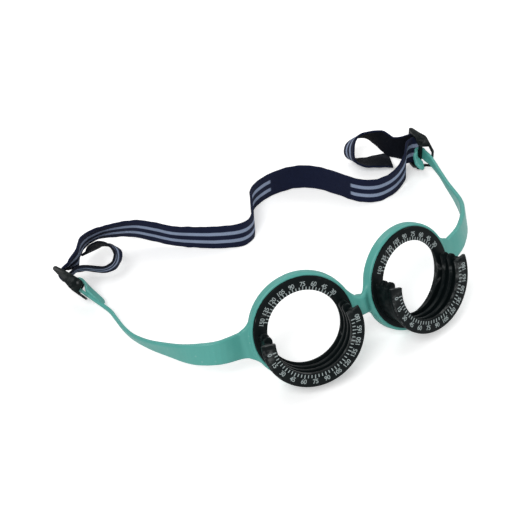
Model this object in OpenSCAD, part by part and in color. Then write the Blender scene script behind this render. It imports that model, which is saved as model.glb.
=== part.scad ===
// Optical trial frame with a moulded flexible front, two lens cells and an elastic head strap.
// Millimetres, +Z up from the table, -Y is the front, and +X is the viewer's right.
// Pieces are named by the wearer's side, so right_ pieces lie at -X and left_ pieces at +X.

/* [Eyes] */
// Distance between the two lens centres
pd = 57.2; // [54:0.2:64]
// How far each lens plane is turned back round the face, in degrees
wrap = 10.6; // [4:0.2:14]
// How far the rims lean back on the table, in degrees
lean = 21; // [15:0.5:25]
// Turn of the wearer's right cell in its rim, in degrees
right_cell_turn = 3.5; // [-8:0.5:8]
// Turn of the wearer's left cell in its rim, in degrees
left_cell_turn = -4.5; // [-8:0.5:8]

/* [Trial lens] */
// Diameter of the trial lens that the slots take
lens_d = 38; // [37:0.1:38.5]
// Gap round the lens, on the radius
lens_gap = 0.25; // [0.1:0.05:0.4]
// Clear opening through the cell
opening_d = 34; // [32:0.2:34.6]

/* [Half barrel] */
// Number of lens slots
slot_count = 3; // [2:1:4]
// Width of one slot along the lens axis
slot_w = 2.5; // [2:0.1:2.8]
// Thickness of the fin between two slots
fin_t = 1.8; // [1.2:0.1:2.2]
// Wall outside the lens edge
barrel_wall = 2.1; // [1.6:0.1:2.4]
// How far the fins stand back from the clear opening
fin_step = 0.4; // [0.2:0.1:0.8]
// How far the barrel runs past the horizontal at each end, in degrees
barrel_over = 12; // [6:1:16]

/* [Dials] */
// How far the rear dial's flange stands back from the rim's outside
dial_inset = 1.4; // [1:0.1:1.8]
// Thickness of the rear dial's flange
rear_dial_t = 1.3; // [1:0.1:1.6]
// Outer radius of the front half dial
front_dial_r = 23.7; // [22.8:0.1:24]
// Thickness of the front half dial
front_dial_t = 1.8; // [1.2:0.1:2.2]
// Edge rounding of both dials
dial_edge = 0.5; // [0.3:0.05:0.6]
// Length of the straight bore at the clear opening
lip_t = 1; // [0.6:0.1:1.2]

/* [Rims] */
// Outer radius of the moulded rim
rim_r = 24.8; // [24.4:0.1:25.6]
// Wall of the rim round the rear dial's spigot
rim_wall = 3.2; // [2.8:0.1:3.6]
// Depth of the rim along the lens axis
rim_depth = 5.2; // [4.4:0.1:6]
// Edge rounding of the rim
rim_edge = 1.1; // [0.6:0.1:1.4]
// Depth of the seat for the rear dial in the rim's front
seat_depth = 0.9; // [0.6:0.1:1.1]
// Wall of the rear dial's spigot inside the rim
spigot_wall = 1.6; // [1.2:0.1:2]

/* [Bridge] */
// Height of the bridge at its waist
bridge_h = 8.4; // [6:0.2:11]
// Thickness of the bridge
bridge_t = 3; // [2.4:0.1:3.6]

/* [Arms] */
// Height of an arm near its rim
arm_h = 10.8; // [8:0.2:13]
// Thickness of an arm near its rim
arm_t = 2.4; // [2:0.1:3]
// Height of the slender part of an arm
strip_h = 3.4; // [3:0.1:4.2]
// Thickness of the slender part and of the tongue
strip_t = 1.8; // [1.5:0.1:2.1]
// Height of the tongue that folds round the buckle's bar
tongue_h = 6; // [5:0.2:8]
// Length of the tongue that is folded back
tongue_len = 15; // [10:0.5:18]
// How far the tongue's fold stands proud of the strips on both sides of it
fold_step = 0.1; // [0.05:0.05:0.2]

/* [Buckle] */
// How far the yoke runs past the hinge bar, along the arm's outer face
yoke_len = 7; // [6:0.2:8]
// Thickness of the yoke
yoke_t = 1.1; // [0.9:0.1:1.4]
// Width of the yoke at its end
yoke_w = 8.6; // [8:0.1:10]
// Width of the yoke's cross piece, seen from outside
yoke_end_w = 1.2; // [1:0.1:1.6]
// Width of each of the yoke's two prongs at its end
prong_w = 0.9; // [0.8:0.05:1.2]
// Gap between the yoke and the arm
yoke_gap = 0.3; // [0.2:0.05:0.6]
// Width of one side rail along the bars
rail_w = 1.3; // [1.1:0.1:1.8]
// Distance from the hinge bar to the full width behind the yoke
shoulder_x = 3; // [2:0.2:4]
// Radius of the bar that the tongue folds round
hinge_bar_r = 1.1; // [1:0.05:1.3]
// Wall round both bars, seen along them
boss_wall = 0.8; // [0.6:0.05:1]
// Running gap between that bar and the tongue
hinge_gap = 0.1; // [0.06:0.01:0.15]
// Radius of the bar that holds the webbing
web_bar_r = 1.2; // [1:0.05:1.3]
// Gap between the tongue's fold and the webbing
fold_gap = 2.3; // [1.6:0.1:3]
// Gap between the webbing and the finger tab
tab_gap = 0.7; // [0.4:0.1:1.2]
// How far the webbing bar stands outwards of the hinge bar
web_bar_y = 0.8; // [0.4:0.1:1]
// Length of the finger tab
tab_len = 2.4; // [2:0.1:3]

/* [Strap] */
// Width of the elastic webbing
strap_w = 14.4; // [13:0.1:15]
// Thickness of the webbing
strap_t = 1.2; // [0.9:0.1:1.3]
// Gap between the webbing and the buckle's bars
strap_gap = 0.3; // [0.25:0.05:0.4]
// Gap between the webbing's edges and the buckle's rails
strap_side_gap = 0.3; // [0.25:0.05:0.8]

/* [Hidden] */
$fn = 96;

teal = [0.33, 0.66, 0.62];
black = [0.06, 0.06, 0.07];
navy = [0.12, 0.13, 0.28];

// Wearer's right is -1 and wearer's left is +1
sides = [-1, 1];

opening_r = opening_d / 2;
lens_seat_r = lens_d / 2 + lens_gap;
fin_in_r = opening_r + fin_step;
barrel_r = lens_seat_r + barrel_wall;
barrel_depth = slot_count * slot_w + (slot_count - 1) * fin_t;
dial_face = barrel_depth + front_dial_t;
barrel_start = 180 - barrel_over;
barrel_span = 180 + 2 * barrel_over;
rear_dial_r = rim_r - dial_inset;
rim_bore_r = rim_r - rim_wall;
rim_front = -rear_dial_t + seat_depth;
rim_back = rim_front - rim_depth;
// Height of the lens centres at which the rims just touch the table
ring_z = (rim_r - rim_edge) * sqrt(pow(cos(lean), 2) + pow(sin(lean) * sin(wrap), 2))
    - (rim_back + rim_edge) * cos(wrap) * sin(lean) + rim_edge;

// Moves the whole object so that the middle of its box is at X = 0 and Y = 0
centre_shift = [0.2, -52.2, 0];

// Vector helpers
function unit(v) = v / norm(v);
function turn_x(v, a) = [v.x, v.y * cos(a) - v.z * sin(a), v.y * sin(a) + v.z * cos(a)];
function turn_y(v, a) = [v.x * cos(a) + v.z * sin(a), v.y, -v.x * sin(a) + v.z * cos(a)];
function turn_z(v, a) = [v.x * cos(a) - v.y * sin(a), v.x * sin(a) + v.y * cos(a), v.z];

// A point given in one eye's own frame: x to the viewer's right, s forward along the lens axis, z up the rim
function eye_dir(side, x, s, z) = turn_x(turn_z([x, -s, z], side * wrap), -lean);
function eye_point(side, x, s, z) =
    turn_x([side * pd / 2, 0, 0] + turn_z([x, -s, z], side * wrap), -lean) + [0, 0, ring_z];

// The two hinge bars: place, then yaw, pitch and roll of the arm's end, then the buckle's swing at rest
bar_place = [[-93, 98, 11], [97, 88, 10.6]];
bar_yaw = [123, 82];
bar_pitch_up = [29, -7];
bar_roll = [-36, 8];
rest_swing = [0, 0];
// How far the tongue's free end springs away from the arm, and below 0 how far it closes on it
tongue_open = [-7, 20];
function which(side) = side < 0 ? 0 : 1;
function arm_end_dir(side, v) =
    let (i = which(side)) turn_z(turn_y(turn_x(v, bar_roll[i]), -bar_pitch_up[i]), bar_yaw[i]);
function arm_end_point(side, v) = bar_place[which(side)] + arm_end_dir(side, v);
function buckle_dir(side, v) = arm_end_dir(side, turn_z(v, rest_swing[which(side)]));
function buckle_point(side, v) = bar_place[which(side)] + buckle_dir(side, v);

// A station of a ribbon: place, direction of its width, width, thickness
function station(p, up, w, t) = [p.x, p.y, p.z, up.x, up.y, up.z, w, t];

// Catmull-Rom curve through a list of stations, with n steps between neighbours
function curve_at(a, b, c, d, u) =
    0.5 * ((2 * b) + (c - a) * u + (2 * a - 5 * b + 4 * c - d) * u * u + (3 * b - a - 3 * c + d) * u * u * u);
function smooth(s, n) = let (last = len(s) - 1) concat(
    [for (i = [0:last - 1], k = [0:n - 1])
        curve_at(s[max(i - 1, 0)], s[i], s[i + 1], s[min(i + 2, last)], k / n)],
    [s[last]]);

function place_of(s) = [s[0], s[1], s[2]];
function width_of(s) = [s[3], s[4], s[5]];

// One eight-sided section of a ribbon, with its corners cut
function section(s, before, after, cut) =
    let (along = unit(place_of(after) - place_of(before)),
        across = unit(cross(along, width_of(s))),
        up = cross(across, along),
        a = s[6] / 2, b = s[7] / 2, c = min(cut, b * 0.9),
        flat = [[a - c, b], [a, b - c], [a, c - b], [a - c, -b], [c - a, -b], [-a, c - b], [-a, b - c], [c - a, b]])
    [for (q = flat) place_of(s) + up * q[0] + across * q[1]];

// A closed ribbon swept along a list of stations
module ribbon(s, cut) {
    last = len(s) - 1;
    k = 8;
    points = [for (i = [0:last]) each section(s[i], s[max(i - 1, 0)], s[min(i + 1, last)], cut)];
    sides_of = [for (i = [0:last - 1], j = [0:k - 1]) let (n = (j + 1) % k)
        each [[i * k + j, i * k + n, (i + 1) * k + n], [i * k + j, (i + 1) * k + n, (i + 1) * k + j]]];
    first_cap = [for (j = [1:k - 2]) [0, j + 1, j]];
    last_cap = [for (j = [1:k - 2]) [last * k, last * k + j, last * k + j + 1]];
    polyhedron(points, concat(sides_of, first_cap, last_cap));
}

// Puts its children, drawn round +Z with +Z forward, into one eye
module in_eye(side) {
    translate([0, 0, ring_z]) rotate([-lean, 0, 0]) translate([side * pd / 2, 0, 0])
        rotate([0, 0, side * wrap]) rotate([90, 0, 0]) children();
}

// Puts its children, drawn with the hinge bar on Z and the arm along -X, at the end of one arm
module in_buckle_seat(side) {
    i = which(side);
    translate(bar_place[i]) rotate([bar_roll[i], -bar_pitch_up[i], bar_yaw[i]]) children();
}

module in_cell(side) {
    in_eye(side) rotate([0, 0, side < 0 ? right_cell_turn : left_cell_turn]) children();
}

// A ring's profile with two rounded outer corners
module ring_profile(r_in, r_out, low, high, edge) {
    translate([r_in, low]) square([r_out - edge - r_in, high - low]);
    translate([r_out - 2 * edge, low + edge]) square([2 * edge, high - low - 2 * edge]);
    for (y = [low + edge, high - edge]) translate([r_out - edge, y]) circle(edge);
}

// Half of a ring, swept over the barrel's span
module half_sweep() {
    rotate([0, 0, barrel_start]) rotate_extrude(angle = barrel_span) children();
}

// Moulded rim, with a seat in its front for the rear dial's flange
module rim(side) {
    in_eye(side) rotate_extrude() difference() {
        ring_profile(rim_bore_r, rim_r, rim_back, rim_front, rim_edge);
        translate([0, -rear_dial_t]) square([rear_dial_r, rim_depth]);
    }
}

// The web between the rims
module bridge() {
    mid_s = (rim_front + rim_back) / 2;
    up = eye_dir(0, 0, 0, 1);
    // Distance from the rim's outside, and width as a share of the waist's
    steps = [[-2.5, 2.4], [-1.6, 2.14], [-0.4, 1.74], [1.2, 1.31], [2.8, 1.07]];
    left = [for (k = steps) station(eye_point(-1, rim_r + k[0], mid_s, 0), up, k[1] * bridge_h, bridge_t)];
    right = [for (i = [len(steps) - 1:-1:0])
        station(eye_point(1, -rim_r - steps[i][0], mid_s, 0), up, steps[i][1] * bridge_h, bridge_t)];
    waist = station(eye_point(0, 0, mid_s, 0), up, bridge_h, bridge_t);
    ribbon(smooth(concat(left, [waist], right), 3), 0.7);
}

// The arms' routes behind the root: outward from the rim, back, up from the lens centre, then width as a
// share between strip and arm, and how far the width still leans with the rim
right_arm_route = [
    [13.2, 8.7, -2, 1.04, 1], [20.6, 13.6, -3, 1, 0.9], [25, 19.7, -5, 0.9, 0.75],
    [29, 28.6, -7.5, 0.62, 0.6], [32.6, 39.4, -11, 0.34, 0.5], [34.8, 51.1, -14.5, 0.12, 0.4],
    [35, 61.3, -17, 0.02, 0.3], [34, 72.4, -19.4, 0, 0.2], [33.7, 80.5, -20.4, 0.1, 0.1]];
left_arm_route = [
    [11.9, 12.4, -2.6, 1.04, 1], [20.4, 20.4, -4.2, 0.96, 0.9], [26.4, 28.6, -6.4, 0.84, 0.75],
    [31.2, 37, -8.6, 0.6, 0.6], [34.8, 46.4, -10.2, 0.3, 0.5], [37.7, 56.5, -11.2, 0.1, 0.4],
    [40.8, 66.5, -12, 0.02, 0.3]];
function arm_route(side) = side < 0 ? right_arm_route : left_arm_route;

loop_in_r = hinge_bar_r + hinge_gap;
loop_out_r = loop_in_r + strip_t;
loop_mid_r = (loop_in_r + loop_out_r) / 2;
// How far each strip runs on into the fold
fold_overlap = 0.3;

function arm_stations(side) =
    let (mid_s = (rim_front + rim_back) / 2, rim_up = eye_dir(side, 0, 0, 1),
        bar_up = arm_end_dir(side, [0, 0, 1]),
        // Distance from the rim's outside, and width as a share of the arm's height
        root = [for (k = [[-2.9, 2.09], [-2.2, 1.93], [-0.6, 1.62], [1.6, 1.33], [4.6, 1.13]])
            station(eye_point(side, side * (rim_r + k[0]), mid_s - max(k[0], 0) * 0.16, 0), rim_up,
                k[1] * arm_h, arm_t)],
        route = [for (k = arm_route(side))
            station([side * (pd / 2 + rim_r + k[0]), k[1], ring_z + k[2]],
                rim_up * k[4] + bar_up * (1 - k[4]),
                strip_h + (arm_h - strip_h) * k[3], strip_t + (arm_t - strip_t) * min(k[3] * 1.5, 1))],
        tongue = [for (k = [[-8.5, 0.75], [-4, 1], [fold_overlap, 1]])
            station(arm_end_point(side, [k[0], -side * loop_mid_r, 0]), bar_up,
                strip_h + (tongue_h - 2 * fold_step - strip_h) * k[1], strip_t - 2 * fold_step)])
    smooth(concat(root, route, tongue), 4);

// The fold round the hinge bar, and the free end of the tongue on the inner side
module tongue_fold(side) {
    open = tongue_open[which(side)];
    leg_r = tongue_h / 2 - fold_step;
    in_buckle_seat(side) {
        rotate([0, 0, side < 0 ? open - 90 : -90]) rotate_extrude(angle = 180 - open)
            translate([loop_in_r, -tongue_h / 2]) square([strip_t, tongue_h]);
        rotate([0, 0, -side * open]) translate([0, side * loop_mid_r, 0]) rotate([90, 0, 0])
            linear_extrude(strip_t - 2 * fold_step, center = true) {
                translate([leg_r - tongue_len, 0]) circle(leg_r);
                translate([leg_r - tongue_len, -leg_r]) square([tongue_len - leg_r + fold_overlap, 2 * leg_r]);
            }
    }
}

module front_frame() color(teal) {
    rim(-1);
    rim(1);
    bridge();
    for (side = sides) {
        ribbon(arm_stations(side), 0.5);
        tongue_fold(side);
    }
}

// Full ring with the upper scale on its face, seated in the rim by its spigot
module rear_dial(side) color(black) in_cell(side) rotate_extrude() {
    ring_profile(opening_r + lip_t, rear_dial_r, -rear_dial_t, 0, dial_edge);
    // The lip round the opening is bevelled from behind
    polygon([[opening_r, 0], [opening_r, -lip_t], [opening_r + lip_t, -rear_dial_t], [opening_r + lip_t, 0]]);
    translate([rim_bore_r - spigot_wall, rim_back]) square([spigot_wall, -rear_dial_t - rim_back]);
}

// Lower half of the barrel, with fins between the lens slots
module slot_barrel(side) color(black) in_cell(side) {
    half_sweep() {
        translate([lens_seat_r, 0]) square([barrel_wall, barrel_depth]);
        for (k = [1:slot_count - 1])
            translate([fin_in_r, k * slot_w + (k - 1) * fin_t]) square([barrel_r - fin_in_r, fin_t]);
    }
    // Rounded tips at both ends of each fin
    tip_r = (barrel_r - fin_in_r) / 2;
    for (k = [1:slot_count - 1], a = [barrel_start, barrel_start + barrel_span])
        rotate([0, 0, a]) translate([fin_in_r + tip_r, 0, k * slot_w + (k - 1) * fin_t])
            cylinder(r = tip_r, h = fin_t);
}

// Half ring with the lower scale on its face
module front_dial(side) color(black) in_cell(side) {
    half_sweep() ring_profile(fin_in_r, front_dial_r, barrel_depth, dial_face, dial_edge);
}

buckle_w = strap_w + 2 * (strap_side_gap + rail_w);
// Distance from the hinge bar to the webbing bar
web_bar_x = loop_out_r + fold_gap + strap_t + strap_gap + web_bar_r;
// Distance from the hinge bar to the middle of the webbing in each slot
wrap_r = web_bar_r + strap_gap + strap_t / 2;
near_slot = web_bar_x - wrap_r;
far_slot = web_bar_x + wrap_r;
far_x = far_slot + strap_t / 2 + tab_gap + tab_len;
yoke_in = loop_out_r + yoke_gap;
yoke_out = yoke_in + yoke_t;
knob_r = tab_len / 2;
boss_r = hinge_bar_r + boss_wall;
web_boss_r = web_bar_r + boss_wall;
// Length of both bars, which end inside the rails
bar_len = buckle_w - rail_w;

// The buckle seen along the hinge bar, with its outer face towards +Y
module buckle_side() {
    edge = yoke_t * 0.4;
    // Yoke, along the outer face of the arm
    polygon([[-yoke_len, yoke_in], [-yoke_len, yoke_out - edge], [edge - yoke_len, yoke_out],
        [boss_r, yoke_out], [boss_r, 0], [-boss_r, 0], [-boss_r - edge, yoke_in]]);
    // Rail, from the hinge bar past the webbing bar to the finger tab
    polygon([[0, yoke_out], [boss_r, yoke_out], [web_bar_x, web_bar_y + web_boss_r],
        [far_x - knob_r, web_bar_y + knob_r], [far_x - knob_r, web_bar_y - knob_r],
        [web_bar_x, web_bar_y - web_boss_r], [0, -boss_r]]);
    circle(boss_r);
    translate([far_x - knob_r, web_bar_y]) circle(knob_r);
}

// The buckle seen from its outer face: a yoke that widens to the full width behind the hinge bar
module buckle_plan(yoke_x, yoke_w, w, end_x) {
    polygon([[yoke_x, -yoke_w / 2], [yoke_x, yoke_w / 2], [shoulder_x, w / 2], [end_x, w / 2],
        [end_x, -w / 2], [shoulder_x, -w / 2]]);
}

// Buckle: a bar in the tongue's fold, a bar for the webbing and a finger tab between two rails
module buckle(side) color(black) in_buckle_seat(side) rotate([0, 0, rest_swing[which(side)]])
    mirror([0, side > 0 ? 1 : 0, 0]) {
        intersection() {
            linear_extrude(2 * buckle_w, center = true) buckle_side();
            rotate([90, 0, 0]) linear_extrude(2 * buckle_w, center = true) difference() {
                buckle_plan(-yoke_len, yoke_w, buckle_w, far_x);
                buckle_plan(yoke_end_w - yoke_len, yoke_w - 2 * prong_w, buckle_w - 2 * rail_w, far_x - tab_len);
            }
        }
        cylinder(r = hinge_bar_r, h = bar_len, center = true);
        translate([web_bar_x, web_bar_y, 0]) cylinder(r = web_bar_r, h = bar_len, center = true);
    }

// The strap's wrap round the webbing bar, from the slot by the hinge to the slot by the tab
function wrap_point(side, a) = buckle_point(side,
    [web_bar_x - wrap_r * cos(a), -side * (web_bar_y + wrap_r * sin(a)), 0]);

// Free webbing: place of its middle line, then the direction of its width
right_tail = [
    [[-76.2, 122.2, 6], [-0.87, -0.39, 0.29]], [[-74, 119.9, 8.8], [-0.86, -0.37, 0.35]],
    [[-72.1, 116.5, 12], [-0.8, -0.19, 0.56]], [[-70.4, 112.9, 13.8], [-0.72, -0.1, 0.69]],
    [[-69.4, 108.9, 14.6], [-0.62, -0.05, 0.78]], [[-69.9, 104.8, 14], [-0.34, -0.11, 0.93]],
    [[-72, 101.4, 12.9], [-0.07, -0.3, 0.95]], [[-75.7, 99.6, 12.2], [0.06, -0.53, 0.84]],
    [[-79.8, 99.6, 12.6], [0.05, -0.69, 0.72]], [[-83.5, 100.6, 13.9], [0.01, -0.74, 0.67]],
    [[-87.3, 101.8, 15.3], [-0.05, -0.68, 0.73]], [[-91.3, 102.8, 15.8], [-0.19, -0.64, 0.74]]];
main_run = [
    [[-94.1, 105.7, 17.4], [-0.03, -0.55, 0.83]], [[-88.9, 106.6, 18.7], [0.02, -0.2, 0.98]],
    [[-85.4, 111.8, 18.6], [0.14, -0.12, 0.98]], [[-81.8, 115.1, 18.4], [0.23, -0.19, 0.95]],
    [[-77.5, 117.6, 17.9], [0.31, -0.33, 0.88]], [[-69, 120.8, 15.7], [0.28, -0.5, 0.82]],
    [[-60.2, 120.7, 13.5], [0.19, -0.45, 0.87]], [[-52.2, 118.8, 11.5], [0.1, -0.37, 0.92]],
    [[-44.9, 114, 9.3], [0.03, -0.25, 0.97]], [[-37.9, 107.4, 7.8], [-0.03, -0.19, 0.98]],
    [[-30.3, 101.3, 7.4], [-0.05, -0.1, 0.99]], [[-20, 94, 7.3], [-0.02, -0.04, 1]],
    [[-9, 89, 7.3], [0, 0, 1]], [[-1.4, 91.6, 7.3], [0, 0, 1]], [[3.6, 100, 7.3], [0, 0, 1]],
    [[9, 109.6, 7.3], [0, 0, 1]], [[17.4, 113.8, 7.3], [0, 0, 1]], [[27, 114.8, 7.3], [0, 0, 1]],
    [[37.4, 112.6, 7.3], [0, 0, 1]], [[45.6, 106, 7.3], [0, 0, 1]], [[51.4, 96, 7.3], [0, 0, 1]],
    [[56.6, 85.8, 7.3], [0, 0, 1]], [[63.6, 80, 7.3], [0, 0, 1]], [[71.6, 79.4, 7.3], [0, 0, 1]],
    [[79, 81.3, 8.1], [0.01, 0.02, 1]], [[85.3, 85, 10], [0.03, 0.06, 1]],
    [[91.3, 92.4, 10.8], [0.13, 0.04, 0.99]]];
left_tail = [
    [[92.1, 99.3, 10.4], [0.12, -0.12, 0.99]], [[88.6, 101.6, 11.1], [0.04, -0.24, 0.97]],
    [[87.1, 104.7, 12.4], [0.05, -0.33, 0.94]], [[85.6, 108.3, 13.7], [-0.04, -0.38, 0.92]],
    [[82.7, 111.2, 14.8], [-0.25, -0.54, 0.8]], [[79.2, 113.5, 15.3], [-0.32, -0.64, 0.7]],
    [[75.3, 114.6, 14.5], [-0.3, -0.71, 0.63]], [[71.8, 114.1, 12.2], [-0.21, -0.81, 0.54]],
    [[69.8, 112.6, 9], [-0.12, -0.86, 0.5]], [[69.9, 110.4, 5.6], [-0.24, -0.84, 0.48]],
    [[72.9, 108.3, 3.8], [-0.34, -0.86, 0.38]], [[76.6, 106.5, 3], [-0.38, -0.88, 0.29]],
    [[80.5, 104.8, 2.9], [-0.39, -0.89, 0.24]], [[84.4, 103.2, 2.8], [-0.39, -0.9, 0.16]],
    [[88.2, 101.5, 2.4], [-0.4, -0.91, 0.1]]];

function free_run(list) = [for (k = list) station(k[0], k[1], strap_w, strap_t)];
function buckle_run(side, list) = [for (v = list)
    station(buckle_point(side, v), buckle_dir(side, [0, 0, 1]), strap_w, strap_t)];
function wrap_run(side, angles) = [for (a = angles)
    station(wrap_point(side, a), buckle_dir(side, [0, 0, 1]), strap_w, strap_t)];
function leg(side, x, reach) = buckle_run(side, [for (y = reach) [x, side * (y - web_bar_y), 0]]);
half_turn = [0, 45, 90, 135, 180];
strap_stations = concat(
    free_run(right_tail),
    leg(-1, near_slot, [2.8, 1.4]), wrap_run(-1, half_turn), leg(-1, far_slot, [1.4, 2.6]),
    free_run(main_run),
    leg(1, near_slot, [3.2, 1.4]), wrap_run(1, half_turn), leg(1, far_slot, [1.4, 3.2]),
    free_run(left_tail));

module head_strap() color(navy) ribbon(smooth(strap_stations, 3), 0.3);

module all_shift() translate(centre_shift) children();

all_shift() front_frame();
all_shift() rear_dial(-1);  // right_rear_dial
all_shift() rear_dial(1);  // left_rear_dial
all_shift() slot_barrel(-1);  // right_slot_barrel
all_shift() slot_barrel(1);  // left_slot_barrel
all_shift() front_dial(-1);  // right_front_dial
all_shift() front_dial(1);  // left_front_dial
all_shift() buckle(-1);  // right_buckle
all_shift() buckle(1);  // left_buckle
all_shift() head_strap();
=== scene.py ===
"""Optical trial frame: moulded front, two slotted lens cells, printed scales, buckles and strap.

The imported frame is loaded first, and every visible piece is built round it, in metres.
Pieces are named by the wearer's side, so right_ pieces lie at -X and left_ pieces at +X.
"""

import math

import bpy
from mathutils import Matrix, Vector


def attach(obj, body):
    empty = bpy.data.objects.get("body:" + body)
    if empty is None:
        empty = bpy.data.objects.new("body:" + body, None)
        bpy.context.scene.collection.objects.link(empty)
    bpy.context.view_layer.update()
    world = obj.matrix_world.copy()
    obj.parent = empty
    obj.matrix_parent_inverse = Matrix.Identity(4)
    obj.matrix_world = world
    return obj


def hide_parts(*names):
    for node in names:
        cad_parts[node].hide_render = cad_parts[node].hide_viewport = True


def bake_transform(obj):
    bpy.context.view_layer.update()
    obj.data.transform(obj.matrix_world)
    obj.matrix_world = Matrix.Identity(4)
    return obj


bl_info = {
    "name": "Optical trial frame",
    "version": (1, 0, 0),
    "blender": (4, 5, 0),
    "location": "View3D > Sidebar > Trial frame",
    "description": "Builds the looks of an optical trial frame round its packed parts",
    "category": "Object",
}

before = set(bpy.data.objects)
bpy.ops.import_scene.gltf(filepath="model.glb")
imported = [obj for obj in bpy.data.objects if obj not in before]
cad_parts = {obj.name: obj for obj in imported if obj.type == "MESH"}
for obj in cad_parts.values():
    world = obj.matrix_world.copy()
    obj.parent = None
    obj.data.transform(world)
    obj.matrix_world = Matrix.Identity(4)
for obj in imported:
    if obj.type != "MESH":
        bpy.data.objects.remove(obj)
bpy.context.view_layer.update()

MM = 0.001
WEARER_RIGHT, WEARER_LEFT = -1, 1
SIDES = ((WEARER_RIGHT, "right"), (WEARER_LEFT, "left"))

# Driving sizes of the parts, in millimetres and degrees, as the solids have them
PUPIL_DISTANCE = 57.2
WRAP_DEG = 10.6
LEAN_DEG = 21.0
CELL_TURN_DEG = {WEARER_RIGHT: 3.5, WEARER_LEFT: -4.5}
RING_HEIGHT = 24.866
OPENING_R = 17.0
FRONT_DIAL_FACE = 12.9
FRONT_DIAL_IN_R = 17.4
CENTRE_SHIFT = Vector((0.2, -52.2, 0.0))
WEBBING_W = 14.4
WEBBING_T = 1.2

# Hinge bar of each buckle: place, then yaw, pitch and roll of the arm's end
BAR_PLACE = {WEARER_RIGHT: Vector((-93, 98, 11)), WEARER_LEFT: Vector((97, 88, 10.6))}
BAR_YAW = {WEARER_RIGHT: 123, WEARER_LEFT: 82}
BAR_PITCH = {WEARER_RIGHT: -29, WEARER_LEFT: 7}
BAR_ROLL = {WEARER_RIGHT: -36, WEARER_LEFT: 8}
WEB_BAR_X, WEB_BAR_Y = 8.0, 0.8
WRAP_R = 2.1

# The webbing's route in millimetres: place of its middle line, then direction of its width
RIGHT_TAIL = [
    [(-76.2, 122.2, 6), (-0.87, -0.39, 0.29)], [(-74, 119.9, 8.8), (-0.86, -0.37, 0.35)],
    [(-72.1, 116.5, 12), (-0.8, -0.19, 0.56)], [(-70.4, 112.9, 13.8), (-0.72, -0.1, 0.69)],
    [(-69.4, 108.9, 14.6), (-0.62, -0.05, 0.78)], [(-69.9, 104.8, 14), (-0.34, -0.11, 0.93)],
    [(-72, 101.4, 12.9), (-0.07, -0.3, 0.95)], [(-75.7, 99.6, 12.2), (0.06, -0.53, 0.84)],
    [(-79.8, 99.6, 12.6), (0.05, -0.69, 0.72)], [(-83.5, 100.6, 13.9), (0.01, -0.74, 0.67)],
    [(-87.3, 101.8, 15.3), (-0.05, -0.68, 0.73)], [(-91.3, 102.8, 15.8), (-0.19, -0.64, 0.74)],
]
MAIN_RUN = [
    [(-94.1, 105.7, 17.4), (-0.03, -0.55, 0.83)], [(-88.9, 106.6, 18.7), (0.02, -0.2, 0.98)],
    [(-85.4, 111.8, 18.6), (0.14, -0.12, 0.98)], [(-81.8, 115.1, 18.4), (0.23, -0.19, 0.95)],
    [(-77.5, 117.6, 17.9), (0.31, -0.33, 0.88)], [(-69, 120.8, 15.7), (0.28, -0.5, 0.82)],
    [(-60.2, 120.7, 13.5), (0.19, -0.45, 0.87)], [(-52.2, 118.8, 11.5), (0.1, -0.37, 0.92)],
    [(-44.9, 114, 9.3), (0.03, -0.25, 0.97)], [(-37.9, 107.4, 7.8), (-0.03, -0.19, 0.98)],
    [(-30.3, 101.3, 7.4), (-0.05, -0.1, 0.99)], [(-20, 94, 7.3), (-0.02, -0.04, 1)],
    [(-9, 89, 7.3), (0, 0, 1)], [(-1.4, 91.6, 7.3), (0, 0, 1)], [(3.6, 100, 7.3), (0, 0, 1)],
    [(9, 109.6, 7.3), (0, 0, 1)], [(17.4, 113.8, 7.3), (0, 0, 1)], [(27, 114.8, 7.3), (0, 0, 1)],
    [(37.4, 112.6, 7.3), (0, 0, 1)], [(45.6, 106, 7.3), (0, 0, 1)], [(51.4, 96, 7.3), (0, 0, 1)],
    [(56.6, 85.8, 7.3), (0, 0, 1)], [(63.6, 80, 7.3), (0, 0, 1)], [(71.6, 79.4, 7.3), (0, 0, 1)],
    [(79, 81.3, 8.1), (0.01, 0.02, 1)], [(85.3, 85, 10), (0.03, 0.06, 1)],
    [(91.3, 92.4, 10.8), (0.13, 0.04, 0.99)],
]
LEFT_TAIL = [
    [(92.1, 99.3, 10.4), (0.12, -0.12, 0.99)], [(88.6, 101.6, 11.1), (0.04, -0.24, 0.97)],
    [(87.1, 104.7, 12.4), (0.05, -0.33, 0.94)], [(85.6, 108.3, 13.7), (-0.04, -0.38, 0.92)],
    [(82.7, 111.2, 14.8), (-0.25, -0.54, 0.8)], [(79.2, 113.5, 15.3), (-0.32, -0.64, 0.7)],
    [(75.3, 114.6, 14.5), (-0.3, -0.71, 0.63)], [(71.8, 114.1, 12.2), (-0.21, -0.81, 0.54)],
    [(69.8, 112.6, 9), (-0.12, -0.86, 0.5)], [(69.9, 110.4, 5.6), (-0.24, -0.84, 0.48)],
    [(72.9, 108.3, 3.8), (-0.34, -0.86, 0.38)], [(76.6, 106.5, 3), (-0.38, -0.88, 0.29)],
    [(80.5, 104.8, 2.9), (-0.39, -0.89, 0.24)], [(84.4, 103.2, 2.8), (-0.39, -0.9, 0.16)],
    [(88.2, 101.5, 2.4), (-0.4, -0.91, 0.1)],
]
# Reach of the straight webbing inside the buckles' slots, from the webbing bar
RIGHT_NEAR_REACH, RIGHT_FAR_REACH = (2.8, 1.4), (1.4, 2.6)
LEFT_NEAR_REACH, LEFT_FAR_REACH = (3.2, 1.4), (1.4, 3.2)
# Station of the main run at which the two halves of the webbing meet
HALVES_MEET = 12
# Up to this station, inside the right buckle's near slot, the webbing's two faces change places
TAIL_TURNED_TO = 14
# Stretch of the webbing that is left plain, from the wearer's right end, in millimetres
PLAIN_FROM, PLAIN_TO = 210.5, 256.0
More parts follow.
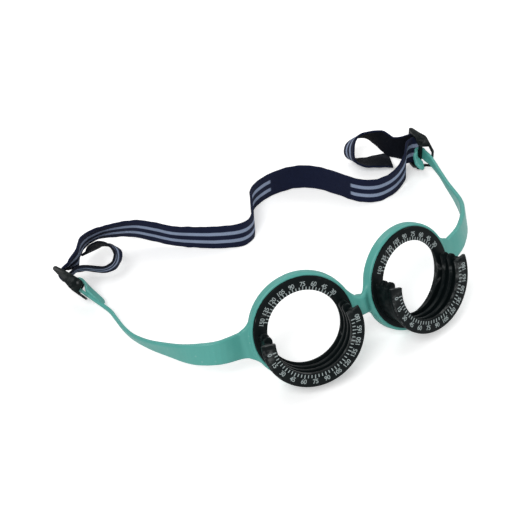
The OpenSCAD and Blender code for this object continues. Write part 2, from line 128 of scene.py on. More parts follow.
# Bridge, in millimetres from its middle: where the smoothing is full and where it ends, where the
# waist comes forward, and by how much
BRIDGE_SMOOTH, BRIDGE_END, BRIDGE_WAIST, BRIDGE_FORWARD = 3.6, 6.0, 4.6, 2.2
# Each tongue's free end in its buckle's frame, in millimetres: middle, then half thickness and half
# width with some room, then how far before the hinge bar its turn starts, is full and ends
TONGUE_MID_Y, TONGUE_HALF_T, TONGUE_HALF_W = 2.1, 1.0, 3.3
TURN_FROM, TURN_FULL, TURN_END = 1.2, 5.6, 15.6
# By side: its spring from the arm and its turn about its own length in degrees, and how far it
# moves from the arm in millimetres
TONGUES = {WEARER_RIGHT: (-7, 24, -1.2), WEARER_LEFT: (20, -52, -0.4)}
# Angle from which an edge of the hard plastic counts as sharp
SHARP_EDGE = math.radians(38)


# --- Settings ---------------------------------------------------------------------------------

def a_length(name, description, default_mm):
    """A length setting, with its default in millimetres."""
    return bpy.props.FloatProperty(name=name, description=description,
                                   default=default_mm * MM, unit="LENGTH")


def a_colour(name, description, red, green, blue):
    """A colour setting."""
    return bpy.props.FloatVectorProperty(name=name, description=description, subtype="COLOR",
                                         size=4, default=(red, green, blue, 1))


class TrialFrameLooks(bpy.types.PropertyGroup):
    """Sizes and colours of the visible pieces"""

    figure_height: a_length("Figure height", "Height of the printed figures", 2.05)
    figure_weight: a_length("Figure weight", "How far the figures' strokes are widened", 0.03)
    upper_figure_r: a_length("Upper scale radius", "Radius of the figures on the rear dials", 19.9)
    lower_figure_r: a_length("Lower scale radius", "Radius of the figures on the front dials", 21.0)
    tick_length: a_length("Tick length", "Length of a five degree tick", 1.45)
    tick_width: a_length("Tick width", "Width of a tick", 0.42)
    print_height: a_length("Print height", "How far the print stands proud of its dial", 0.03)
    mould_cell: a_length("Moulding detail", "Mesh size of the moulded front", 0.34)
    edge_soft: a_length("Edge softness", "Rounding of the hard plastic edges", 0.16)
    rib_pitch: a_length("Rib pitch", "Distance between two ribs of the webbing", 0.6)
    rib_height: a_length("Rib height", "Height of the webbing's ribs", 0.05)
    stripe_offset: a_length("Stripe offset", "From the webbing's middle to a stripe's middle", 2.5)
    stripe_width: a_length("Stripe width", "Width of one pale stripe", 2.1)
    teal: a_colour("Teal", "Colour of the moulded front", 0.084, 0.37, 0.325)
    black: a_colour("Black", "Colour of the dials, barrels and buckles", 0.0042, 0.0072, 0.0078)
    print_colour: a_colour("Print", "Colour of the printed scales", 0.34, 0.4, 0.4)
    navy: a_colour("Navy", "Ground colour of the webbing", 0.0075, 0.0115, 0.036)
    stripe: a_colour("Stripe", "Colour of the webbing's stripes", 0.28, 0.34, 0.48)
    underside: a_colour("Underside", "Colour of the webbing's underside", 0.0045, 0.0062, 0.0125)


def looks():
    return bpy.context.scene.trial_frame_looks


# --- Frames of reference ----------------------------------------------------------------------

def turn(degrees, axis):
    return Matrix.Rotation(math.radians(degrees), 4, axis)


def cell_matrix(side):
    """One cell's own frame, in metres: +Z forward along the lens axis, +Y up the rim."""
    ring_middle = (CENTRE_SHIFT + Vector((0, 0, RING_HEIGHT))) * MM
    return (Matrix.Translation(ring_middle) @ turn(-LEAN_DEG, "X")
            @ Matrix.Translation((side * PUPIL_DISTANCE / 2 * MM, 0, 0))
            @ turn(side * WRAP_DEG, "Z") @ turn(90, "X") @ turn(CELL_TURN_DEG[side], "Z"))


def buckle_matrix(side):
    """One buckle's own frame, in millimetres: the hinge bar on Z and the webbing bar at +X."""
    return (Matrix.Translation(BAR_PLACE[side] + CENTRE_SHIFT) @ turn(BAR_YAW[side], "Z")
            @ turn(BAR_PITCH[side], "Y") @ turn(BAR_ROLL[side], "X"))


# --- Modelling helpers ------------------------------------------------------------------------

def deselect_all():
    if bpy.context.object is not None and bpy.context.object.mode != "OBJECT":
        bpy.ops.object.mode_set(mode="OBJECT")
    bpy.ops.object.select_all(action="DESELECT")


def make_active(piece):
    deselect_all()
    piece.select_set(True)
    bpy.context.view_layer.objects.active = piece


def apply_modifier(piece, kind, label, **settings):
    """Adds one modifier with its settings and applies it."""
    make_active(piece)
    modifier = piece.modifiers.new(label, kind)
    for key, value in settings.items():
        setattr(modifier, key, value)
    bpy.ops.object.modifier_apply(modifier=modifier.name)


def rest_at_origin(piece):
    """Moves a piece's place into its mesh."""
    make_active(piece)
    bpy.ops.object.transform_apply(location=True, rotation=True, scale=True)


def give_material(piece, *materials):
    piece.data.materials.clear()
    for material in materials:
        piece.data.materials.append(material)


def copy_of_node(node, name):
    """A closed copy of a CAD node's mesh, with its flat faces whole again."""
    piece = bpy.data.objects.new(name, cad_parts[node].data.copy())
    bpy.context.scene.collection.objects.link(piece)
    make_active(piece)
    bpy.ops.mesh.customdata_custom_splitnormals_clear()
    bpy.ops.object.mode_set(mode="EDIT")
    bpy.ops.mesh.select_all(action="SELECT")
    bpy.ops.mesh.remove_doubles(threshold=0.002 * MM)
    bpy.ops.mesh.dissolve_limited(angle_limit=math.radians(0.4))
    bpy.ops.object.mode_set(mode="OBJECT")
    return piece


def soften_edges(piece, width):
    """Rounds the hard edges as a mould does, then shades the round faces smooth."""
    apply_modifier(piece, "BEVEL", "Soft edges", width=width, segments=2, limit_method="ANGLE",
                   angle_limit=SHARP_EDGE, use_clamp_overlap=True, harden_normals=False)
    make_active(piece)
    bpy.ops.object.shade_smooth_by_angle(angle=SHARP_EDGE)


def join(pieces, name):
    deselect_all()
    for piece in pieces:
        piece.select_set(True)
    bpy.context.view_layer.objects.active = pieces[0]
    bpy.ops.object.join()
    pieces[0].name = pieces[0].data.name = name
    return pieces[0]


# --- Shader groups and materials --------------------------------------------------------------

SURFACE = (("NodeSocketColor", "Colour"), ("NodeSocketFloat", "Roughness"),
           ("NodeSocketFloat", "Height"))


def new_group(name, inputs):
    """An empty shader group that gives a surface; inputs are (socket type, name, default)."""
    group = bpy.data.node_groups.new(name, "ShaderNodeTree")
    for kind, label, default in inputs:
        socket = group.interface.new_socket(label, in_out="INPUT", socket_type=kind)
        socket.default_value = default
    for kind, label in SURFACE:
        group.interface.new_socket(label, in_out="OUTPUT", socket_type=kind)
    return group, group.nodes.new("NodeGroupInput")


def close_group(group, *values):
    """Gives a surface group's colour, roughness and height to its outputs."""
    out = group.nodes.new("NodeGroupOutput")
    for (_, label), value in zip(SURFACE, values):
        group.links.new(value, out.inputs[label])
    return group


def add(tree, kind, **settings):
    """A new node with its settings; inputs are given by name or by number."""
    inputs = settings.pop("inputs", {})
    node = tree.nodes.new(kind)
    for key, value in settings.items():
        setattr(node, key, value)
    for key, value in inputs.items():
        if isinstance(value, bpy.types.NodeSocket):
            tree.links.new(value, node.inputs[key])
        else:
            node.inputs[key].default_value = value
    return node


def math_node(tree, operation, *values, clamp=False):
    node = add(tree, "ShaderNodeMath", operation=operation, use_clamp=clamp,
               inputs=dict(enumerate(values)))
    return node.outputs[0]


def mix_colours(tree, factor, first, second):
    node = add(tree, "ShaderNodeMix", data_type="RGBA", inputs={0: factor, 6: first, 7: second})
    return node.outputs[2]


def noise(tree, place, scale, detail, **inputs):
    node = add(tree, "ShaderNodeTexNoise",
               inputs={"Vector": place, "Scale": scale, "Detail": detail, **inputs})
    return node.outputs["Fac"]


def scaled(tree, vector, factor):
    node = add(tree, "ShaderNodeVectorMath", operation="SCALE", inputs={0: vector, 3: factor})
    return node.outputs[0]


def smooth_range(tree, value, low, high, to_low=0.0, to_high=1.0):
    node = add(tree, "ShaderNodeMapRange", interpolation_type="SMOOTHSTEP",
               inputs={0: value, 1: low, 2: high, 3: to_low, 4: to_high})
    return node.outputs[0]


def plastic_group():
    """Fine moulding grain, slow colour variation and rubbed patches, for every plastic."""
    found = bpy.data.node_groups.get("Plastic surface")
    if found:
        return found
    group, given = new_group(
        "Plastic surface",
        [("NodeSocketColor", "Colour", (0.5, 0.5, 0.5, 1)), ("NodeSocketFloat", "Variation", 0.1),
         ("NodeSocketFloat", "Roughness", 0.4), ("NodeSocketFloat", "Rubbing", 0.1),
         ("NodeSocketFloat", "Grain size", 0.3), ("NodeSocketFloat", "Edge wear", 0.2)])
    place = add(group, "ShaderNodeTexCoord").outputs["Object"]
    in_mm = scaled(group, place, 1 / MM)
    slow = noise(group, in_mm, 0.09, 3.0)
    patches = noise(group, in_mm, 0.45, 6.0, Roughness=0.7)
    grain_scale = math_node(group, "DIVIDE", 1.0, given.outputs["Grain size"])
    grain = noise(group, in_mm, grain_scale, 2.0)
    pit_scale = math_node(group, "MULTIPLY", grain_scale, 0.7)
    pits = add(group, "ShaderNodeTexVoronoi", inputs={"Vector": in_mm, "Scale": pit_scale})
    # Edges wear paler, but only where the plastic is rubbed
    edges = add(group, "ShaderNodeNewGeometry").outputs["Pointiness"]
    worn = smooth_range(group, edges, 0.52, 0.6)
    worn = math_node(group, "MULTIPLY", worn, smooth_range(group, patches, 0.4, 0.65))
    worn = math_node(group, "MULTIPLY", worn, given.outputs["Edge wear"])
    tone = math_node(group, "SUBTRACT", slow, 0.5)
    tone = math_node(group, "MULTIPLY", tone, given.outputs["Variation"])
    tone = math_node(group, "MULTIPLY_ADD", tone, 2.0, 1.0)
    shade = scaled(group, given.outputs["Colour"], tone)
    paler = mix_colours(group, worn, shade, (0.75, 0.78, 0.78, 1))
    rough = smooth_range(group, patches, 0.35, 0.7, -1.0, 1.0)
    rough = math_node(group, "MULTIPLY", rough, given.outputs["Rubbing"])
    rough = math_node(group, "ADD", given.outputs["Roughness"], rough, clamp=True)
    height = math_node(group, "MULTIPLY_ADD", pits.outputs["Distance"], 0.5, grain)
    return close_group(group, paler, rough, height)


def webbing_group():
    """Ribs and picks with painted shade between them, stray fibres and stripes of the elastic, from
    the piece's webbing attribute.
    """
    found = bpy.data.node_groups.get("Elastic weave")
    if found:
        return found
    group, given = new_group(
        "Elastic weave",
        [("NodeSocketColor", "Ground", (0.02, 0.02, 0.05, 1)),
         ("NodeSocketColor", "Stripe", (0.2, 0.2, 0.3, 1)),
         ("NodeSocketFloat", "Stripes", 1.0), ("NodeSocketFloat", "Rib pitch", 0.6),
         ("NodeSocketFloat", "Pick pitch", 0.75), ("NodeSocketFloat", "Stripe offset", 2.5),
         ("NodeSocketFloat", "Stripe width", 2.1)])
    place = add(group, "ShaderNodeAttribute", attribute_name="webbing",
                attribute_type="GEOMETRY").outputs["Vector"]
    parts = add(group, "ShaderNodeSeparateXYZ", inputs={0: place})
    across, along = parts.outputs["X"], parts.outputs["Y"]
    turns = math_node(group, "DIVIDE", across, given.outputs["Rib pitch"])
    rib = math_node(group, "SINE", math_node(group, "MULTIPLY", turns, math.pi))
    rib = math_node(group, "ABSOLUTE", rib)
    # The picks of every other rib are shifted by half; 40 ribs more keep the count positive
    rib_number = math_node(group, "FLOOR", math_node(group, "ADD", turns, 40.0))
    every_other = math_node(group, "MODULO", rib_number, 2.0)
    picks = math_node(group, "DIVIDE", along, given.outputs["Pick pitch"])
    picks = math_node(group, "MULTIPLY_ADD", every_other, 0.5, picks)
    pick = math_node(group, "SINE", math_node(group, "MULTIPLY", picks, 2 * math.pi))
    pick = math_node(group, "MULTIPLY_ADD", pick, 0.5, 0.5)
    # The weave drives the relief, and below it also a painted shade in the colour
    weave = math_node(group, "MULTIPLY", rib, pick)
    # The fibres' noise is drawn out along the webbing
    narrowed = math_node(group, "MULTIPLY", across, 7.0)
    fibre_place = add(group, "ShaderNodeCombineXYZ", inputs={0: narrowed, 1: along}).outputs[0]
    fibres = noise(group, fibre_place, 2.2, 4.0)
    slow = noise(group, place, 0.12, 2.0)
    # Distance from the nearer stripe's middle line, with an edge that steps from pick to pick
    off = math_node(group, "ABSOLUTE", across)
    off = math_node(group, "SUBTRACT", off, given.outputs["Stripe offset"])
    off = math_node(group, "ABSOLUTE", off)
    off = math_node(group, "MULTIPLY_ADD", pick, 0.18, off)
    half = math_node(group, "MULTIPLY", given.outputs["Stripe width"], 0.5)
    past_edge = math_node(group, "SUBTRACT", off, half)
    in_stripe = smooth_range(group, past_edge, -0.12, 0.28, 1.0, 0.0)
    # The stripes fade out over one pick at each end of the plain stretch
    before = smooth_range(group, along, PLAIN_FROM - 0.6, PLAIN_FROM + 0.6, 1.0, 0.0)
    after = smooth_range(group, along, PLAIN_TO - 0.6, PLAIN_TO + 0.6)
    striped = math_node(group, "ADD", before, after, clamp=True)
    in_stripe = math_node(group, "MULTIPLY", in_stripe, striped)
    in_stripe = math_node(group, "MULTIPLY", in_stripe, given.outputs["Stripes"])
    colour = mix_colours(group, in_stripe, given.outputs["Ground"], given.outputs["Stripe"])
    # Painted shade: darker between the ribs and picks, with a little of the fibres' and the slow
    # variation
    tone = math_node(group, "MULTIPLY_ADD", weave, 0.5, 0.72)
    tone = math_node(group, "MULTIPLY_ADD", fibres, 0.35, tone)
    tone = math_node(group, "SUBTRACT", tone, 0.27)
    tone = math_node(group, "MULTIPLY_ADD", slow, 0.3, tone)
    colour = scaled(group, colour, tone)
    rough = math_node(group, "MULTIPLY_ADD", fibres, -0.2, 0.95)
    height = math_node(group, "MULTIPLY_ADD", fibres, 0.4, weave)
    return close_group(group, colour, rough, height)


def new_material(name):
    material = bpy.data.materials.new(name)
    material.use_nodes = True
    tree = material.node_tree
    return material, tree, tree.nodes["Principled BSDF"]


def surfaced_material(name, group, given, bump, depth_mm, gloss):
    """A material with its colour, roughness and relief from one surface group."""
    material, tree, shader = new_material(name)
    surface = add(tree, "ShaderNodeGroup", node_tree=group)
    for key, value in given.items():
        surface.inputs[key].default_value = value
    relief = add(tree, "ShaderNodeBump", inputs={
        "Strength": bump, "Distance": depth_mm * MM, "Height": surface.outputs["Height"]})
    tree.links.new(surface.outputs["Colour"], shader.inputs["Base Color"])
    tree.links.new(surface.outputs["Roughness"], shader.inputs["Roughness"])
    tree.links.new(relief.outputs[0], shader.inputs["Normal"])
    shader.inputs["Specular IOR Level"].default_value = gloss
    return material, shader


def plastic(name, colour, variation, roughness, rubbing, grain_mm, bump, wear, gloss):
    """A moulded plastic of this object."""
    found = bpy.data.materials.get(name)
    if found:
        return found
    given = {"Colour": colour, "Variation": variation, "Roughness": roughness,
             "Rubbing": rubbing, "Grain size": grain_mm, "Edge wear": wear}
    material, _ = surfaced_material(name, plastic_group(), given, bump, 0.05, gloss)
    return material


def webbing_cloth(name, ground, stripes):
    """The elastic webbing's striped face, with stripes 1, or its plain underside, with 0."""
    found = bpy.data.materials.get(name)
    if found:
        return found
    given = {"Ground": ground, "Stripe": looks().stripe, "Stripes": stripes,
             "Rib pitch": looks().rib_pitch / MM, "Stripe offset": looks().stripe_offset / MM,
             "Stripe width": looks().stripe_width / MM}
    material, shader = surfaced_material(name, webbing_group(), given, bump=0.6, depth_mm=0.12,
                                         gloss=0.12)
    shader.inputs["Sheen Weight"].default_value = 0.06
    shader.inputs["Sheen Roughness"].default_value = 0.4
    return material


def teal_moulding():
    return plastic("Teal moulding", looks().teal, variation=0.07, roughness=0.42, rubbing=0.07,
                   grain_mm=0.5, bump=0.10, wear=0.15, gloss=0.5)


def dial_black():
    return plastic("Satin black dial", looks().black, variation=0.2, roughness=0.45, rubbing=0.08,
                   grain_mm=0.25, bump=0.12, wear=0.12, gloss=0.12)


def barrel_black():
    return plastic("Gloss black barrel", looks().black, variation=0.15, roughness=0.36,
                   rubbing=0.06, grain_mm=0.4, bump=0.05, wear=0.08, gloss=0.06)


def buckle_black():
    return plastic("Buckle black", looks().black, variation=0.2, roughness=0.34, rubbing=0.08,
                   grain_mm=0.3, bump=0.06, wear=0.12, gloss=0.14)


def scale_print():
    return plastic("Scale print", looks().print_colour, variation=0.1, roughness=0.5, rubbing=0.1,
                   grain_mm=0.2, bump=0.05, wear=0.0, gloss=0.5)


# --- Operators --------------------------------------------------------------------------------

class TRIALFRAME_OT_stage(bpy.types.Operator):
    """Camera at the photograph's angle, soft studio lamps and a pale floor"""

    bl_idname = "trialframe.stage"
    bl_label = "Camera, lamps and floor"

    CAMERA_PLACE = Vector((-275.9, -474.5, 485.4)) * MM
    AZIMUTH, ELEVATION, ROLL = -28.45, 40.74, -4.25
    LENS = 104.9
    # Name, place in metres, size, watts
    LAMPS = (("key", (-0.75, -0.6, 1.2), 0.7, 12.5), ("fill", (1.2, -0.1, 0.8), 0.7, 5.0),
             ("back", (0.1, 1.1, 0.9), 0.8, 4.5))
    # White of the surroundings, as a light and as the camera sees it
    AMBIENT, SEEN_WHITE = 0.35, 1.0
    # The seen floor's own glow, near the object and far from it, and over which distance it grows
    NEAR_GLOW, FAR_GLOW = 0.38, 1.0
    GLOW_FROM, GLOW_TO = 0.35, 1.4
    FLOOR_SIZE = 16

    def execute(self, context):
        scene = context.scene
        scene.view_settings.view_transform = "Standard"
        self.camera(scene)
        for name, place, size, watts in self.LAMPS:
            self.lamp(name, Vector(place), size, watts)
        self.world(scene)
        self.floor()
        return {"FINISHED"}

    def camera(self, scene):
        azimuth, elevation = math.radians(self.AZIMUTH), math.radians(self.ELEVATION)
        back = Vector((math.sin(azimuth) * math.cos(elevation),
                       -math.cos(azimuth) * math.cos(elevation), math.sin(elevation)))
        level = Vector((math.cos(azimuth), math.sin(azimuth), 0))
        roll = math.radians(self.ROLL)
        right = level * math.cos(roll) + back.cross(level) * math.sin(roll)
        up = back.cross(right)
        data = bpy.data.cameras.new("camera")
        data.lens, data.sensor_width = self.LENS, 36.0
        data.clip_start, data.clip_end = 0.01, 20.0
        camera = bpy.data.objects.new("camera", data)
        scene.collection.objects.link(camera)
        axes = Matrix((right, up, back)).transposed().to_4x4()
        camera.matrix_world = Matrix.Translation(self.CAMERA_PLACE) @ axes
        scene.camera = camera

    def lamp(self, name, place, size, watts):
        data = bpy.data.lights.new(name, "AREA")
        data.shape, data.size, data.energy = "DISK", size, watts
        lamp = bpy.data.objects.new(name, data)
        bpy.context.scene.collection.objects.link(lamp)
        lamp.location = place
        lamp.rotation_mode = "QUATERNION"
        lamp.rotation_quaternion = (-place).to_track_quat("-Z", "Y")

    def seen_mask(self, tree):
        """1 for what the camera sees straight."""
        return add(tree, "ShaderNodeLightPath").outputs["Is Camera Ray"]

    def world(self, scene):
        world = bpy.data.worlds.new("studio")
        world.use_nodes = True
        scene.world = world
        tree = world.node_tree
        background = tree.nodes["Background"]
        background.inputs["Color"].default_value = (1, 1, 1, 1)
        strength = smooth_range(tree, self.seen_mask(tree), 0.0, 1.0, self.AMBIENT, self.SEEN_WHITE)
        tree.links.new(strength, background.inputs["Strength"])

    def floor(self):
        deselect_all()
        bpy.ops.mesh.primitive_plane_add(size=self.FLOOR_SIZE, location=(0, 0, 0))
        floor = bpy.context.object
        floor.name = "floor"
        rest_at_origin(floor)
        material, tree, shader = new_material("pale floor")
        shader.inputs["Base Color"].default_value = (0.9, 0.9, 0.9, 1)
        shader.inputs["Roughness"].default_value = 0.9
        shader.inputs["Specular IOR Level"].default_value = 0.1
        shader.inputs["Emission Color"].default_value = (1, 1, 1, 1)
        # Far from the lamps the seen floor goes over into the white surroundings
        place = add(tree, "ShaderNodeTexCoord").outputs["Object"]
        away = add(tree, "ShaderNodeVectorMath", operation="LENGTH",
                   inputs={0: place}).outputs["Value"]
        glow = smooth_range(tree, away, self.GLOW_FROM, self.GLOW_TO, self.NEAR_GLOW,
                            self.FAR_GLOW)
        seen_glow = math_node(tree, "MULTIPLY", self.seen_mask(tree), glow)
        tree.links.new(seen_glow, shader.inputs["Emission Strength"])
        give_material(floor, material)


class TRIALFRAME_OT_moulded_front(bpy.types.Operator):
    """The flexible front: both rims, the bridge, the arms and the tongues that hold the buckles"""

    bl_idname = "trialframe.moulded_front"
    bl_label = "Moulded front"

    def ease_bridge(self, front):
        """Lets the bridge run from rim to rim in one soft hollow, its waist brought forward."""
        near = front.vertex_groups.new(name="Bridge")
        for vertex in front.data.vertices:
            away = abs(vertex.co.x / MM - CENTRE_SHIFT.x)
            if away > BRIDGE_END:
                continue
            share = 1 - max(away - BRIDGE_SMOOTH, 0) / (BRIDGE_END - BRIDGE_SMOOTH)
            near.add([vertex.index], share, "REPLACE")
            vertex.co.y -= BRIDGE_FORWARD * MM * max(1 - away / BRIDGE_WAIST, 0) ** 1.5
        apply_modifier(front, "SMOOTH", "Bridge flow", factor=0.5, iterations=70,
                       vertex_group="Bridge")

    def turn_tongue(self, front, side):
        """Turns one tongue's free end about its own length."""
        spring, tip_turn, tip_shift = TONGUES[side]
        place = buckle_matrix(side) @ turn(-side * spring, "Z")
        back = place.inverted()
        for vertex in front.data.vertices:
            x, y, z = back @ (vertex.co / MM)
            off = side * y - TONGUE_MID_Y
            if not TURN_FROM < -x < TURN_END or abs(off) > TONGUE_HALF_T or abs(z) > TONGUE_HALF_W:
                continue
            share = min((-x - TURN_FROM) / (TURN_FULL - TURN_FROM), 1)
            share = share * share * (3 - 2 * share)
            angle = math.radians(tip_turn * share)
            y = TONGUE_MID_Y + tip_shift * share + off * math.cos(angle) - z * math.sin(angle)
            z = off * math.sin(angle) + z * math.cos(angle)
            vertex.co = place @ Vector((x, side * y, z)) * MM

    def execute(self, context):
        front = copy_of_node("front_frame", "moulded_front")
        apply_modifier(front, "REMESH", "Mould", mode="VOXEL", voxel_size=looks().mould_cell,
                       use_smooth_shade=True)
        apply_modifier(front, "SMOOTH", "Flow", factor=0.5, iterations=6)
        self.ease_bridge(front)
        for side, _ in SIDES:
            self.turn_tongue(front, side)
        give_material(front, teal_moulding())
        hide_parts("front_frame")
        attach(front, "frame")
        return {"FINISHED"}


class TRIALFRAME_OT_lens_cells(bpy.types.Operator):
    """Rear dials, slotted half barrels and front half dials"""

    bl_idname = "trialframe.lens_cells"
    bl_label = "Lens cells"

    def execute(self, context):
        for side, name in SIDES:
            for part, material in (("rear_dial", dial_black), ("slot_barrel", barrel_black),
                                   ("front_dial", dial_black)):
                node = "%s_%s" % (name, part)
                piece = copy_of_node(node, node + "_body")
                soften_edges(piece, looks().edge_soft)
                give_material(piece, material())
                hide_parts(node)
                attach(piece, "frame")
        return {"FINISHED"}


class TRIALFRAME_OT_scales(bpy.types.Operator):
    """Printed figures and ticks: 30 to 150 on the rear dials, 0 to 180 on the front half dials"""

    bl_idname = "trialframe.scales"
    bl_label = "Printed scales"

    FIGURE_STEP, TICK_STEP = 15, 5
    UPPER_RANGE, LOWER_RANGE = (30, 150), (0, 180)
    # Gap between an opening's edge and its ticks, in millimetres
    UPPER_GAP, LOWER_GAP = 0.05, 0.45
    # How much longer the tick at a figure is
    LONG_TICK = 1.25
    # The type: a digit's height as a share of the text's size, spacing, width and curve steps
    DIGIT_HEIGHT, SPACING, SQUEEZE, CURVE_STEPS = 0.7, 0.92, 0.98, 3

    def figure(self, value, radius, angle, upright, face, place):
        """One number on a dial's face, at an angle in degrees."""
        deselect_all()
        bpy.ops.object.text_add()
        text = bpy.context.object
        text.data.body = str(value)
        text.data.align_x, text.data.align_y = "CENTER", "CENTER"
        text.data.size = looks().figure_height / self.DIGIT_HEIGHT
        text.data.extrude = looks().print_height
        text.data.offset = looks().figure_weight
        text.data.space_character = self.SPACING
        text.data.resolution_u = self.CURVE_STEPS
        bpy.ops.object.convert(target="MESH")
        text = bpy.context.object
        centre = sum((Vector(corner) for corner in text.bound_box), Vector()) / 8
        text.matrix_world = (place @ turn(angle, "Z") @ Matrix.Translation((radius, 0, face))
                             @ turn(upright, "Z") @ Matrix.Diagonal((self.SQUEEZE, 1, 1, 1))
                             @ Matrix.Translation((-centre.x, -centre.y, 0)))
        rest_at_origin(text)
        return text

    def tick(self, radius, angle, length, face, place):
        """One tick, pointing out from the opening."""
        deselect_all()
        bpy.ops.mesh.primitive_cube_add(size=1)
        tick = bpy.context.object
        tick.scale = (length, looks().tick_width, 2 * looks().print_height)
        rest_at_origin(tick)
        middle = Matrix.Translation((radius + length / 2, 0, face))
        tick.matrix_world = place @ turn(angle, "Z") @ middle
        rest_at_origin(tick)
        return tick

    def scale(self, name, limits, zero_angle, tick_r, figure_r, upright, face, place):
        """One dial's print, from its first value to its last; zero_angle is where 0 would be."""
        first, end = limits[0], limits[1] + 1
        marks = [self.figure(value, figure_r, zero_angle + value, upright, face, place)
                 for value in range(first, end, self.FIGURE_STEP)]
        for value in range(first, end, self.TICK_STEP):
            long = self.LONG_TICK if value % self.FIGURE_STEP == 0 else 1.0
            marks.append(self.tick(tick_r, zero_angle + value, looks().tick_length * long,
                                   face, place))
        piece = join(marks, name)
        give_material(piece, scale_print())
        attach(piece, "frame")

    def execute(self, context):
        for side, name in SIDES:
            place = cell_matrix(side)
            self.scale(name + "_upper_scale", self.UPPER_RANGE, 0,
                       (OPENING_R + self.UPPER_GAP) * MM, looks().upper_figure_r, -90, 0, place)
            self.scale(name + "_lower_scale", self.LOWER_RANGE, 180,
                       (FRONT_DIAL_IN_R + self.LOWER_GAP) * MM, looks().lower_figure_r, 90,
                       FRONT_DIAL_FACE * MM, place)
        return {"FINISHED"}


class TRIALFRAME_OT_buckles(bpy.types.Operator):
    """Both buckles, with the rounded edges of an injection moulding"""

    bl_idname = "trialframe.buckles"
    bl_label = "Buckles"

    def execute(self, context):
        for side, name in SIDES:
            node = name + "_buckle"
            piece = copy_of_node(node, node + "_body")
            soften_edges(piece, looks().edge_soft)
            give_material(piece, buckle_black())
            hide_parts(node)
            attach(piece, node)
        return {"FINISHED"}


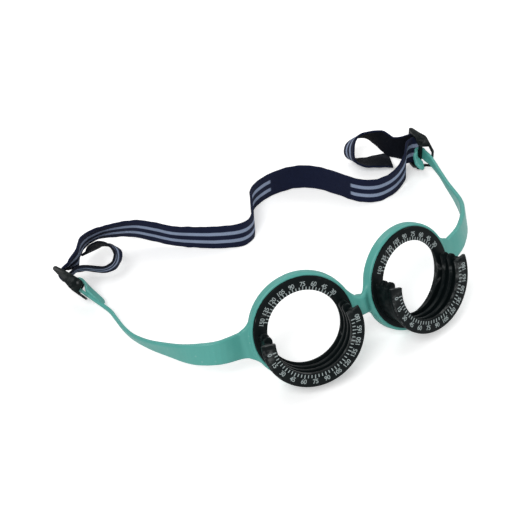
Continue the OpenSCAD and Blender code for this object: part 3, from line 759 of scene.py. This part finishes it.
class TRIALFRAME_OT_webbing(bpy.types.Operator):
    """The elastic head strap, in two halves that meet on the main run"""

    bl_idname = "trialframe.webbing"
    bl_label = "Head strap"

    # Steps of the smooth curve between two stations
    STEPS = 8
    # Reach of the bend between a buckle and the still middle of the strap
    BEND_FROM, BEND_TO = 48 * MM, 9 * MM
    # Section, in millimetres: room left for the ripple, radius of the woven edge, where the ribs
    # start as a share of it, and half height of the edge's flat; then points to a rib
    RIPPLE_ROOM, EDGE_R, EDGE_INSET, EDGE_FLAT = 0.03, 0.45, 0.55, 0.18
    RIB_POINTS = 4
    # The worn elastic's mean narrowing as a share, and its edges' ripple in millimetres
    NARROWING, RIPPLE = 0.011, 0.14

    def in_buckle(self, side, points):
        """Stations given in one buckle's own frame; the width lies along its bars."""
        matrix = buckle_matrix(side)
        width = matrix.to_3x3() @ Vector((0, 0, 1))
        return [(matrix @ Vector((x, y, 0)) - CENTRE_SHIFT, width) for x, y in points]

    def through_buckle(self, side, near_reach, far_reach):
        """In by the slot next to the hinge, round the webbing bar and out by the far slot."""
        half_turn = [math.radians(a) for a in range(0, 181, 45)]
        return self.in_buckle(side, [
            *[(WEB_BAR_X - WRAP_R, side * (y - WEB_BAR_Y)) for y in near_reach],
            *[(WEB_BAR_X - WRAP_R * math.cos(a), -side * (WEB_BAR_Y + WRAP_R * math.sin(a)))
              for a in half_turn],
            *[(WEB_BAR_X + WRAP_R, side * (y - WEB_BAR_Y)) for y in far_reach]])

    def stations(self):
        """Every station of the route from end to end, and where the two halves meet."""
        right_tail, main_run, left_tail = (
            [(Vector(place), Vector(width)) for place, width in route]
            for route in (RIGHT_TAIL, MAIN_RUN, LEFT_TAIL))
        given = right_tail + self.through_buckle(WEARER_RIGHT, RIGHT_NEAR_REACH, RIGHT_FAR_REACH)
        meet = len(given) + HALVES_MEET
        given += main_run
        given += self.through_buckle(WEARER_LEFT, LEFT_NEAR_REACH, LEFT_FAR_REACH)
        return given + left_tail, meet

    def smooth(self, given):
        """A smooth curve through the stations, with STEPS steps between two of them."""
        last = len(given) - 1
        out = []
        for i in range(last):
            four = [given[max(i - 1, 0)], given[i], given[i + 1], given[min(i + 2, last)]]
            for step in range(self.STEPS):
                u = step / self.STEPS
                share = (-u ** 3 + 2 * u * u - u, 3 * u ** 3 - 5 * u * u + 2,
                         -3 * u ** 3 + 4 * u * u + u, u ** 3 - u * u)
                out.append(tuple(sum((k * s[part] for k, s in zip(share, four)), Vector()) / 2
                                 for part in (0, 1)))
        return out + [given[last]]

    def profile(self):
        """One face of the webbing from edge to edge, as (place across, height), in millimetres."""
        half, thick = WEBBING_W / 2, WEBBING_T / 2 - self.RIPPLE_ROOM
        rib, low = looks().rib_pitch / MM, looks().rib_height / MM
        count = int(WEBBING_W / rib) * self.RIB_POINTS
        inset = self.EDGE_R * self.EDGE_INSET
        face = []
        for i in range(count + 1):
            x = -half + inset + (WEBBING_W - 2 * inset) * i / count
            into = max(self.EDGE_R - (half - abs(x)), 0) / self.EDGE_R
            round_off = thick * (1 - math.sqrt(max(1 - into * into, 0)))
            between_ribs = 1 - abs(math.sin(math.pi * x / rib))
            face.append((x, thick - round_off - low * between_ribs))
        return face

    def slack(self, across, along):
        """The worn elastic's narrowing as a share and its ripple in millimetres, at one place."""
        waves = math.sin(along * 0.71) * math.sin(along * 0.23 + 1)
        edge = (across / (WEBBING_W / 2)) ** 2
        ripple = math.sin(along * 0.9 + 0.6 * across) * math.sin(along * 0.19)
        return self.NARROWING * (1 + waves), self.RIPPLE * edge * ripple

    def ribbon(self, name, run, travelled, turned_to):
        """A closed mesh along one run; up to the ring turned_to its faces change places."""
        face = self.profile()
        rim, flat = WEBBING_W / 2, self.EDGE_FLAT
        section = (face + [(rim, flat), (rim, -flat)] + [(x, -z) for x, z in reversed(face)]
                   + [(-rim, -flat), (-rim, flat)])
        count, last = len(section), len(run) - 1
        points, marks, faces, under = [], [], [], []
        for i, (place, width) in enumerate(run):
            along = (run[min(i + 1, last)][0] - run[max(i - 1, 0)][0]).normalized()
            out = along.cross(width).normalized()
            up = out.cross(along)
            for x, z in section:
                narrower, ripple = self.slack(x, travelled[i])
                point = place + CENTRE_SHIFT + up * x * (1 - narrower) + out * (z + ripple)
                points.append(point * MM)
                marks.append((x, travelled[i], 0.0))
        for i in range(last):
            for j in range(count):
                n = (j + 1) % count
                faces.append((i * count + j, i * count + n,
                              (i + 1) * count + n, (i + 1) * count + j))
                under.append((j > len(face) + 1) != (i < turned_to))
        for i, order in ((0, -1), (last, 1)):
            faces.append([i * count + j for j in range(count)][::order])
            under.append(False)
        mesh = bpy.data.meshes.new(name)
        mesh.from_pydata(points, [], faces)
        attribute = mesh.attributes.new("webbing", "FLOAT_VECTOR", "POINT")
        attribute.data.foreach_set("vector", [value for mark in marks for value in mark])
        piece = bpy.data.objects.new(name, mesh)
        bpy.context.scene.collection.objects.link(piece)
        give_material(piece, webbing_cloth("Striped webbing", looks().navy, 1.0),
                      webbing_cloth("Webbing underside", looks().underside, 0.0))
        for polygon, below in zip(mesh.polygons, under):
            polygon.material_index = 1 if below else 0
        make_active(piece)
        bpy.ops.object.mode_set(mode="EDIT")
        bpy.ops.mesh.select_all(action="SELECT")
        bpy.ops.mesh.normals_make_consistent(inside=False)
        bpy.ops.object.mode_set(mode="OBJECT")
        bpy.ops.object.shade_smooth_by_angle(angle=math.radians(60))
        return piece

    def execute(self, context):
        given, meet = self.stations()
        run = self.smooth(given)
        travelled = [0.0]
        for before, after in zip(run, run[1:]):
            travelled.append(travelled[-1] + (after[0] - before[0]).length)
        cut = meet * self.STEPS
        parts = {WEARER_RIGHT: slice(0, cut + 1), WEARER_LEFT: slice(cut, None)}
        turned_to = {WEARER_RIGHT: TAIL_TURNED_TO * self.STEPS, WEARER_LEFT: 0}
        for side, name in SIDES:
            part = parts[side]
            piece = self.ribbon(name + "_webbing", run[part], travelled[part], turned_to[side])
            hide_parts("head_strap")
            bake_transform(piece)
        return {"FINISHED"}


class VIEW3D_PT_trial_frame(bpy.types.Panel):
    """Pieces and settings of the trial frame"""

    bl_label = "Trial frame"
    bl_space_type = "VIEW_3D"
    bl_region_type = "UI"
    bl_category = "Trial frame"

    def draw(self, context):
        for operator in PIECE_OPERATORS:
            self.layout.operator(operator.bl_idname)
        for name in TrialFrameLooks.__annotations__:
            self.layout.prop(looks(), name)


PIECE_OPERATORS = (TRIALFRAME_OT_stage, TRIALFRAME_OT_moulded_front, TRIALFRAME_OT_lens_cells,
                   TRIALFRAME_OT_scales, TRIALFRAME_OT_buckles, TRIALFRAME_OT_webbing)
CLASSES = (TrialFrameLooks, *PIECE_OPERATORS, VIEW3D_PT_trial_frame)


def register():
    for cls in CLASSES:
        bpy.utils.register_class(cls)
    bpy.types.Scene.trial_frame_looks = bpy.props.PointerProperty(type=TrialFrameLooks)


def unregister():
    del bpy.types.Scene.trial_frame_looks
    for cls in reversed(CLASSES):
        bpy.utils.unregister_class(cls)


def main():
    register()
    bpy.ops.trialframe.stage()
    bpy.ops.trialframe.moulded_front()
    bpy.ops.trialframe.lens_cells()
    bpy.ops.trialframe.scales()
    bpy.ops.trialframe.buckles()
    bpy.ops.trialframe.webbing()


if __name__ == "__main__":
    main()
